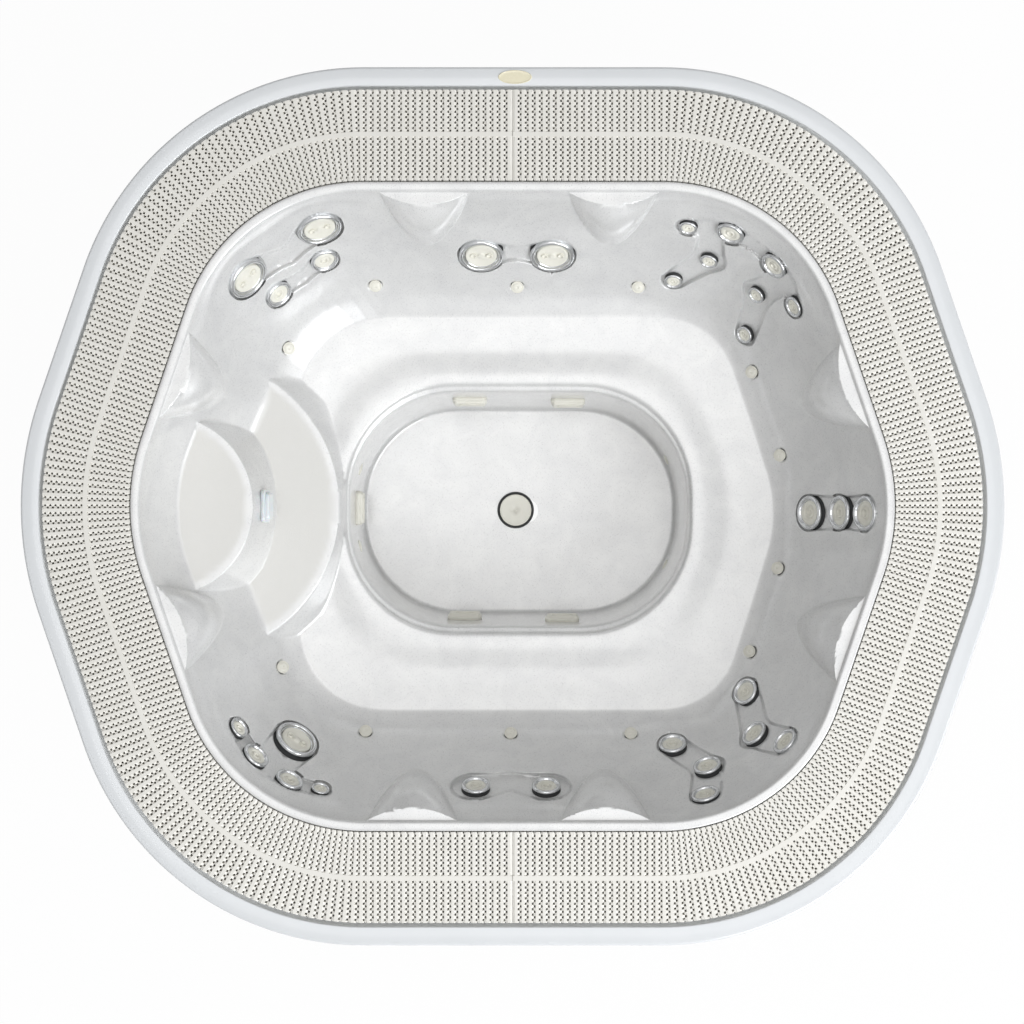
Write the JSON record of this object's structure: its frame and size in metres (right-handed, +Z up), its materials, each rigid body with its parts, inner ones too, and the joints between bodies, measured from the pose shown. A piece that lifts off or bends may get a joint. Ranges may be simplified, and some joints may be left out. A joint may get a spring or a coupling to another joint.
{
  "type": "hot tub",
  "caption": "Deck-level overflow hot tub: benches round a footwell, entry steps, massage jets and a lift-off grating over the overflow channel.",
  "frame": {"origin": "centre of the footprint, on the floor under the legs", "axes": "+X along the tub towards the bench with the vertical row of three jets, away from the entry steps; +Y across the tub towards the rim badge; +Z up"},
  "size_m": [2.8, 2.5, 1.0025],
  "materials": {
    "pearl_acrylic": "glossy pearl white acrylic",
    "rim_acrylic": "glossy white acrylic",
    "grating_plastic": "satin off-white moulded plastic",
    "jet_insert_plastic": "warm white moulded plastic",
    "jet_polished_steel": "polished stainless steel",
    "fitting_plastic": "warm white satin moulded plastic",
    "badge_plastic": "plain cream plate",
    "galvanised_steel": "galvanised steel",
    "outlet_plastic": "off-white pipe plastic"
  },
  "bodies": {
    "tub": {"basin_shell": "pearl_acrylic", "jet_large_left_top_body": "jet_polished_steel", "jet_large_left_side_body": "jet_polished_steel", "jet_large_top_left_body": "jet_polished_steel", "jet_large_top_right_body": "jet_polished_steel", "jet_large_bottom_left_body": "jet_polished_steel", "suction_cover_top_left": "fitting_plastic", "suction_cover_top_right": "fitting_plastic", "suction_cover_bottom_left": "fitting_plastic", "suction_cover_bottom_right": "fitting_plastic", "suction_cover_left": "fitting_plastic", "step_light": "fitting_plastic", "drain_cover": "fitting_plastic", "overflow_channel": "rim_acrylic", "channel_outlet_right": "outlet_plastic", "channel_outlet_left": "outlet_plastic", "rim_badge": "badge_plastic", "leg_1": "galvanised_steel", "leg_2": "galvanised_steel", "leg_3": "galvanised_steel", "leg_4": "galvanised_steel", "leg_5": "galvanised_steel", "leg_6": "galvanised_steel", "leg_7": "galvanised_steel", "leg_8": "galvanised_steel", "bearer_left": "galvanised_steel", "bearer_right": "galvanised_steel"},
    "jet_large_left_top_rotor": {"jet_large_left_top_rotor": "jet_insert_plastic"},
    "jet_large_left_side_rotor": {"jet_large_left_side_rotor": "jet_insert_plastic"},
    "jet_large_top_left_rotor": {"jet_large_top_left_rotor": "jet_insert_plastic"},
    "jet_large_top_right_rotor": {"jet_large_top_right_rotor": "jet_insert_plastic"},
    "jet_large_bottom_left_rotor": {"jet_large_bottom_left_rotor": "jet_insert_plastic"},
    "jet_upper_left_1": {"jet_upper_left_1": "jet_polished_steel"},
    "jet_upper_left_2": {"jet_upper_left_2": "jet_polished_steel"},
    "jet_upper_right_1": {"jet_upper_right_1": "jet_polished_steel"},
    "jet_upper_right_2": {"jet_upper_right_2": "jet_polished_steel"},
    "jet_upper_right_3": {"jet_upper_right_3": "jet_polished_steel"},
    "jet_upper_right_4": {"jet_upper_right_4": "jet_polished_steel"},
    "jet_upper_right_5": {"jet_upper_right_5": "jet_polished_steel"},
    "jet_upper_right_6": {"jet_upper_right_6": "jet_polished_steel"},
    "jet_upper_right_7": {"jet_upper_right_7": "jet_polished_steel"},
    "jet_upper_right_8": {"jet_upper_right_8": "jet_polished_steel"},
    "jet_right_1": {"jet_right_1": "jet_polished_steel"},
    "jet_right_2": {"jet_right_2": "jet_polished_steel"},
    "jet_right_3": {"jet_right_3": "jet_polished_steel"},
    "jet_lower_right_1": {"jet_lower_right_1": "jet_polished_steel"},
    "jet_lower_right_2": {"jet_lower_right_2": "jet_polished_steel"},
    "jet_lower_right_3": {"jet_lower_right_3": "jet_polished_steel"},
    "jet_lower_right_4": {"jet_lower_right_4": "jet_polished_steel"},
    "jet_lower_right_5": {"jet_lower_right_5": "jet_polished_steel"},
    "jet_lower_right_6": {"jet_lower_right_6": "jet_polished_steel"},
    "jet_bottom_1": {"jet_bottom_1": "jet_polished_steel"},
    "jet_bottom_2": {"jet_bottom_2": "jet_polished_steel"},
    "jet_lower_left_1": {"jet_lower_left_1": "jet_polished_steel"},
    "jet_lower_left_2": {"jet_lower_left_2": "jet_polished_steel"},
    "jet_lower_left_3": {"jet_lower_left_3": "jet_polished_steel"},
    "jet_lower_left_4": {"jet_lower_left_4": "jet_polished_steel"},
    "grating_right": {"grating_right": "grating_plastic"},
    "grating_left": {"grating_left": "grating_plastic"}
  },
  "joints": [
    {"name": "jet_large_left_top_spin", "type": "hinge", "parent": "tub", "child": "jet_large_left_top_rotor", "pos_m": [-0.56321, 0.81087, 0.84206], "axis": [0.2626, -0.8399, 0.4751], "continuous": true},
    {"name": "jet_large_left_side_spin", "type": "hinge", "parent": "tub", "child": "jet_large_left_side_rotor", "pos_m": [-0.77322, 0.667, 0.83942], "axis": [0.6787, -0.5657, 0.4684], "continuous": true},
    {"name": "jet_large_top_left_spin", "type": "hinge", "parent": "tub", "child": "jet_large_top_left_rotor", "pos_m": [-0.0964, 0.74926, 0.7], "axis": [0, -0.8163, 0.5776], "continuous": true},
    {"name": "jet_large_top_right_spin", "type": "hinge", "parent": "tub", "child": "jet_large_top_right_rotor", "pos_m": [0.11485, 0.74897, 0.69957], "axis": [0, -0.8163, 0.5776], "continuous": true},
    {"name": "jet_large_bottom_left_spin", "type": "hinge", "parent": "tub", "child": "jet_large_bottom_left_rotor", "pos_m": [-0.64494, -0.69017, 0.69713], "axis": [0.4844, 0.6964, 0.5295], "continuous": true},
    {"name": "jet_upper_left_1_turn", "type": "hinge", "parent": "tub", "child": "jet_upper_left_1", "pos_m": [-0.55903, 0.73071, 0.72101], "axis": [0.3104, -0.7692, 0.5585], "range_deg": [0, 90]},
    {"name": "jet_upper_left_2_turn", "type": "hinge", "parent": "tub", "child": "jet_upper_left_2", "pos_m": [-0.69515, 0.63277, 0.70759], "axis": [0.5937, -0.5888, 0.5484], "range_deg": [0, 90]},
    {"name": "jet_upper_right_1_turn", "type": "hinge", "parent": "tub", "child": "jet_upper_right_1", "pos_m": [0.50974, 0.81324, 0.8242], "axis": [-0.1777, -0.8438, 0.5063], "range_deg": [0, 90]},
    {"name": "jet_upper_right_2_turn", "type": "hinge", "parent": "tub", "child": "jet_upper_right_2", "pos_m": [0.63048, 0.79386, 0.85365], "axis": [-0.3705, -0.8082, 0.4578], "range_deg": [0, 90]},
    {"name": "jet_upper_right_3_turn", "type": "hinge", "parent": "tub", "child": "jet_upper_right_3", "pos_m": [0.57694, 0.72779, 0.71939], "axis": [-0.2865, -0.7986, 0.5292], "range_deg": [0, 90]},
    {"name": "jet_upper_right_4_turn", "type": "hinge", "parent": "tub", "child": "jet_upper_right_4", "pos_m": [0.47818, 0.67939, 0.61818], "axis": [-0.1008, -0.7842, 0.6123], "range_deg": [0, 90]},
    {"name": "jet_upper_right_5_turn", "type": "hinge", "parent": "tub", "child": "jet_upper_right_5", "pos_m": [0.75734, 0.70068, 0.84573], "axis": [-0.6473, -0.6249, 0.4365], "range_deg": [0, 90]},
    {"name": "jet_upper_right_6_turn", "type": "hinge", "parent": "tub", "child": "jet_upper_right_6", "pos_m": [0.71786, 0.62927, 0.7049], "axis": [-0.629, -0.5877, 0.5089], "range_deg": [0, 90]},
    {"name": "jet_upper_right_7_turn", "type": "hinge", "parent": "tub", "child": "jet_upper_right_7", "pos_m": [0.81818, 0.58483, 0.8109], "axis": [-0.8024, -0.4035, 0.4396], "range_deg": [0, 90]},
    {"name": "jet_upper_right_8_turn", "type": "hinge", "parent": "tub", "child": "jet_upper_right_8", "pos_m": [0.69412, 0.52244, 0.57801], "axis": [-0.6398, -0.4039, 0.6539], "range_deg": [0, 90]},
    {"name": "jet_right_1_turn", "type": "hinge", "parent": "tub", "child": "jet_right_1", "pos_m": [0.88663, -0.01432, 0.61996], "axis": [-0.8131, -0.0009, 0.5821], "range_deg": [0, 90]},
    {"name": "jet_right_2_turn", "type": "hinge", "parent": "tub", "child": "jet_right_2", "pos_m": [0.96143, -0.01537, 0.74583], "axis": [-0.8878, 0.0093, 0.4602], "range_deg": [0, 90]},
    {"name": "jet_right_3_turn", "type": "hinge", "parent": "tub", "child": "jet_right_3", "pos_m": [1.02094, -0.0189, 0.86718], "axis": [-0.8526, 0.0049, 0.5226], "range_deg": [0, 90]},
    {"name": "jet_lower_right_1_turn", "type": "hinge", "parent": "tub", "child": "jet_lower_right_1", "pos_m": [0.47513, -0.70711, 0.62116], "axis": [-0.0947, 0.825, 0.5571], "range_deg": [0, 90]},
    {"name": "jet_lower_right_2_turn", "type": "hinge", "parent": "tub", "child": "jet_lower_right_2", "pos_m": [0.57127, -0.76099, 0.74243], "axis": [-0.2635, 0.8397, 0.4748], "range_deg": [0, 90]},
    {"name": "jet_lower_right_3_turn", "type": "hinge", "parent": "tub", "child": "jet_lower_right_3", "pos_m": [0.55694, -0.83289, 0.86426], "axis": [-0.2489, 0.8934, 0.3739], "range_deg": [0, 90]},
    {"name": "jet_lower_right_4_turn", "type": "hinge", "parent": "tub", "child": "jet_lower_right_4", "pos_m": [0.69728, -0.55222, 0.57849], "axis": [-0.6249, 0.3912, 0.6756], "range_deg": [0, 90]},
    {"name": "jet_lower_right_5_turn", "type": "hinge", "parent": "tub", "child": "jet_lower_right_5", "pos_m": [0.71122, -0.66712, 0.72006], "axis": [-0.6288, 0.6233, 0.4649], "range_deg": [0, 90]},
    {"name": "jet_lower_right_6_turn", "type": "hinge", "parent": "tub", "child": "jet_lower_right_6", "pos_m": [0.78903, -0.67982, 0.8567], "axis": [-0.6885, 0.5943, 0.4156], "range_deg": [0, 90]},
    {"name": "jet_bottom_1_turn", "type": "hinge", "parent": "tub", "child": "jet_bottom_1", "pos_m": [-0.10994, -0.81551, 0.78842], "axis": [0, 0.8824, 0.4704], "range_deg": [0, 90]},
    {"name": "jet_bottom_2_turn", "type": "hinge", "parent": "tub", "child": "jet_bottom_2", "pos_m": [0.09633, -0.81645, 0.79038], "axis": [0, 0.8824, 0.4704], "range_deg": [0, 90]},
    {"name": "jet_lower_left_1_turn", "type": "hinge", "parent": "tub", "child": "jet_lower_left_1", "pos_m": [-0.79699, -0.64283, 0.83979], "axis": [0.7475, 0.4968, 0.441], "range_deg": [0, 90]},
    {"name": "jet_lower_left_2_turn", "type": "hinge", "parent": "tub", "child": "jet_lower_left_2", "pos_m": [-0.74557, -0.72112, 0.85957], "axis": [0.6376, 0.6523, 0.4098], "range_deg": [0, 90]},
    {"name": "jet_lower_left_3_turn", "type": "hinge", "parent": "tub", "child": "jet_lower_left_3", "pos_m": [-0.64868, -0.79143, 0.85688], "axis": [0.4382, 0.8014, 0.407], "range_deg": [0, 90]},
    {"name": "jet_lower_left_4_turn", "type": "hinge", "parent": "tub", "child": "jet_lower_left_4", "pos_m": [-0.56024, -0.81886, 0.83901], "axis": [0.2624, 0.8546, 0.4482], "range_deg": [0, 90]},
    {"name": "grating_right_lift", "type": "slide", "parent": "tub", "child": "grating_right", "axis": [0, 0, 1], "range_m": [0, 0.3]},
    {"name": "grating_left_lift", "type": "slide", "parent": "tub", "child": "grating_left", "axis": [0, 0, 1], "range_m": [0, 0.3]}
  ]
}
